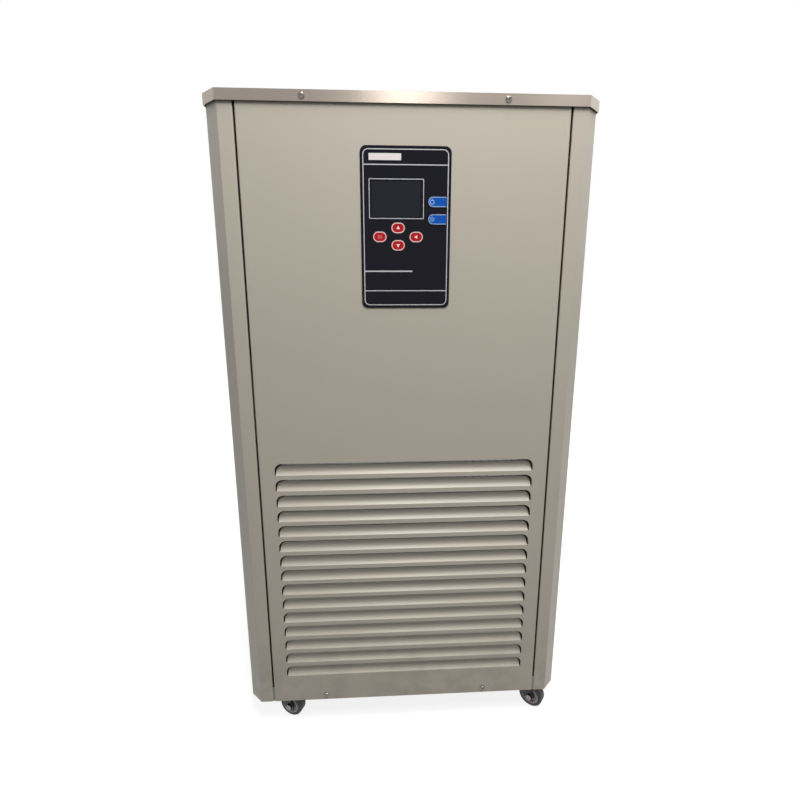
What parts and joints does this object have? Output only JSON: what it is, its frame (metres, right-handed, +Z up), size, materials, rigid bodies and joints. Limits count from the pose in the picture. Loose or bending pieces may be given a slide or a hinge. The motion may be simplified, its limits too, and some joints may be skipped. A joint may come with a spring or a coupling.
{
  "type": "recirculating chiller",
  "caption": "Floor-standing recirculating chiller: tall steel cabinet with a louvred front, keypad panel, stainless top with reservoir lid, rear hose nozzles and swivel casters.",
  "frame": {"origin": "on the floor, under the middle of the object's box", "axes": "+Z up, -Y out of the louvred front, +X to the right seen from the front"},
  "size_m": [0.5058, 0.6134, 0.978],
  "materials": {
    "casing_paint": "textured powder coat",
    "galvanised_steel": "galvanised sheet",
    "stainless_steel": "brushed",
    "bright_steel": "bright zinc or stainless",
    "black_knob": "gloss phenolic",
    "foam_jacket": "closed-cell foam",
    "copper_tube": "drawn copper tube",
    "overlay_film": "gloss printed film",
    "display_glass": "dark glossy display",
    "red_key": "gloss",
    "blue_key": "gloss",
    "circuit_board": "solder mask",
    "black_paint": "satin black paint",
    "black_rubber": "moulded",
    "aluminium_fins": "mill finish",
    "cast_pump": "as cast, painted",
    "motor_paint": "painted",
    "hose_rubber": "reinforced hose",
    "valve_brass": "turned",
    "black_plastic": "moulded",
    "rocker_plastic": "moulded",
    "fork_steel": "dark plated pressing",
    "wheel_hub": "grey moulded core",
    "wheel_tyre": "black tread"
  },
  "bodies": {
    "cabinet": {"left_side_shell": "casing_paint", "right_side_shell": "casing_paint", "front_panel": "casing_paint", "rear_panel": "casing_paint", "base_pan": "galvanised_steel", "tank_shelf": "galvanised_steel", "top_cover": "stainless_steel", "reservoir_lid": "stainless_steel", "reservoir_tank": "stainless_steel", "temperature_probe": "stainless_steel", "casing_screws": "bright_steel", "caster_plates": "bright_steel", "outlet_nozzle": "bright_steel", "inlet_nozzle": "bright_steel", "lid_knob": "black_knob", "tank_insulation": "foam_jacket", "evaporator_coil": "copper_tube", "refrigerant_pipes": "copper_tube", "filter_drier": "copper_tube", "panel_overlay": "overlay_film", "display_module": "display_glass", "control_board": "circuit_board", "compressor": "black_paint", "compressor_feet": "black_rubber", "condenser_coil": "aluminium_fins", "fan_shroud": "galvanised_steel", "fan_motor": "black_paint", "pump_housing": "cast_pump", "pump_motor": "motor_paint", "suction_hose": "hose_rubber", "delivery_hose": "hose_rubber", "return_hose": "hose_rubber", "drain_valve_body": "valve_brass", "cord_gland": "black_plastic", "mains_switch_body": "black_plastic"},
    "key_up_cap": {"key_up": "red_key"},
    "key_down_cap": {"key_down": "red_key"},
    "key_set_cap": {"key_set": "red_key"},
    "key_shift_cap": {"key_shift": "red_key"},
    "key_circulate_cap": {"key_circulate": "blue_key"},
    "key_cool_cap": {"key_cool": "blue_key"},
    "rocker": {"mains_switch_rocker": "rocker_plastic"},
    "drain_lever": {"drain_valve_lever": "bright_steel"},
    "fan": {"fan_blade": "aluminium_fins"},
    "swivel_front_left": {"fork_front_left": "fork_steel", "axle_front_left": "bright_steel"},
    "wheel_front_left": {"hub_front_left": "wheel_hub", "tyre_front_left": "wheel_tyre"},
    "swivel_front_right": {"fork_front_right": "fork_steel", "axle_front_right": "bright_steel"},
    "wheel_front_right": {"hub_front_right": "wheel_hub", "tyre_front_right": "wheel_tyre"},
    "swivel_rear_left": {"fork_rear_left": "fork_steel", "axle_rear_left": "bright_steel"},
    "wheel_rear_left": {"hub_rear_left": "wheel_hub", "tyre_rear_left": "wheel_tyre"},
    "swivel_rear_right": {"fork_rear_right": "fork_steel", "axle_rear_right": "bright_steel"},
    "wheel_rear_right": {"hub_rear_right": "wheel_hub", "tyre_rear_right": "wheel_tyre"}
  },
  "joints": [
    {"name": "key_up_press", "type": "slide", "parent": "cabinet", "child": "key_up_cap", "axis": [0, 1, 0], "range_m": [0, 0.0005], "stiffness_N_per_m": 800, "springref_m": -0.0005},
    {"name": "key_down_press", "type": "slide", "parent": "cabinet", "child": "key_down_cap", "axis": [0, 1, 0], "range_m": [0, 0.0005], "stiffness_N_per_m": 800, "springref_m": -0.0005},
    {"name": "key_set_press", "type": "slide", "parent": "cabinet", "child": "key_set_cap", "axis": [0, 1, 0], "range_m": [0, 0.0005], "stiffness_N_per_m": 800, "springref_m": -0.0005},
    {"name": "key_shift_press", "type": "slide", "parent": "cabinet", "child": "key_shift_cap", "axis": [0, 1, 0], "range_m": [0, 0.0005], "stiffness_N_per_m": 800, "springref_m": -0.0005},
    {"name": "key_circulate_press", "type": "slide", "parent": "cabinet", "child": "key_circulate_cap", "axis": [0, 1, 0], "range_m": [0, 0.0005], "stiffness_N_per_m": 800, "springref_m": -0.0005},
    {"name": "key_cool_press", "type": "slide", "parent": "cabinet", "child": "key_cool_cap", "axis": [0, 1, 0], "range_m": [0, 0.0005], "stiffness_N_per_m": 800, "springref_m": -0.0005},
    {"name": "rocker_tilt", "type": "hinge", "parent": "cabinet", "child": "rocker", "pos_m": [-0.165, 0.25775, 0.217], "axis": [1, 0, 0], "range_deg": [0, 20]},
    {"name": "drain_turn", "type": "hinge", "parent": "cabinet", "child": "drain_lever", "pos_m": [0.165, 0.28075, 0.226], "axis": [0, 0, 1], "range_deg": [0, 90]},
    {"name": "fan_spin", "type": "hinge", "parent": "cabinet", "child": "fan", "pos_m": [0, -0.19785, 0.2565], "axis": [0, 1, 0], "continuous": true},
    {"name": "swivel_turn_front_left", "type": "hinge", "parent": "cabinet", "child": "swivel_front_left", "pos_m": [-0.206, -0.26125, 0.0465], "axis": [0, 0, 1], "continuous": true},
    {"name": "wheel_spin_front_left", "type": "hinge", "parent": "swivel_front_left", "child": "wheel_front_left", "pos_m": [-0.18787, -0.2697, 0.02], "axis": [-0.4226, -0.9063, 0], "continuous": true},
    {"name": "swivel_turn_front_right", "type": "hinge", "parent": "cabinet", "child": "swivel_front_right", "pos_m": [0.206, -0.26125, 0.0465], "axis": [0, 0, 1], "continuous": true},
    {"name": "wheel_spin_front_right", "type": "hinge", "parent": "swivel_front_right", "child": "wheel_front_right", "pos_m": [0.22132, -0.27411, 0.02], "axis": [-0.6428, -0.766, 0], "continuous": true},
    {"name": "swivel_turn_rear_left", "type": "hinge", "parent": "cabinet", "child": "swivel_rear_left", "pos_m": [-0.206, 0.21875, 0.0465], "axis": [0, 0, 1], "continuous": true},
    {"name": "wheel_spin_rear_left", "type": "hinge", "parent": "swivel_rear_left", "child": "wheel_rear_left", "pos_m": [-0.18721, 0.21191, 0.02], "axis": [-0.342, -0.9397, 0], "continuous": true},
    {"name": "swivel_turn_rear_right", "type": "hinge", "parent": "cabinet", "child": "swivel_rear_right", "pos_m": [0.206, 0.21875, 0.0465], "axis": [0, 0, 1], "continuous": true},
    {"name": "wheel_spin_rear_right", "type": "hinge", "parent": "swivel_rear_right", "child": "wheel_rear_right", "pos_m": [0.22238, 0.20728, 0.02], "axis": [-0.5736, -0.8192, 0], "continuous": true}
  ]
}
